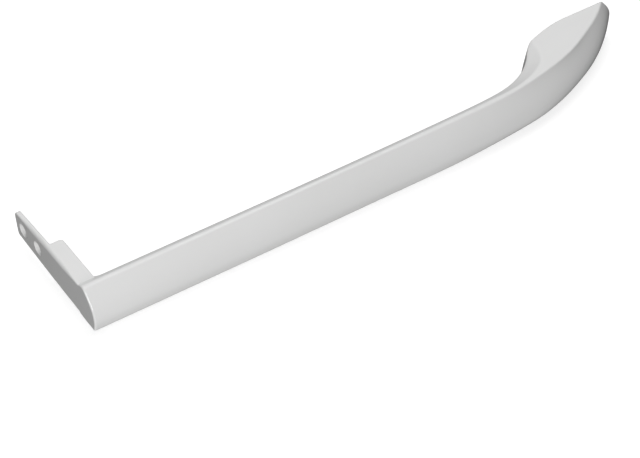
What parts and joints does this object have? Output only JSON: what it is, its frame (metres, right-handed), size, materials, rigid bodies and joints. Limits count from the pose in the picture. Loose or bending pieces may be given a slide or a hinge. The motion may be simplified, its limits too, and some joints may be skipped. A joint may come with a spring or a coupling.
{
  "type": "refrigerator door handle",
  "caption": "Slim moulded door handle: a straight grip bar with a screwed arm and lug at one end and a swept leaf that lies on the door at the other.",
  "frame": {"origin": "on the outer end face, in the plane of the door's front and at mid-width", "axes": "+X along the bar from the screwed end to the leaf, +Y into the door, +Z across the bar towards its high side"},
  "size_m": [0.3374, 0.0825, 0.0236],
  "materials": {
    "door_handle": "glossy moulded white plastic"
  },
  "bodies": {
    "root": {"door_handle": "door_handle"}
  },
  "joints": []
}
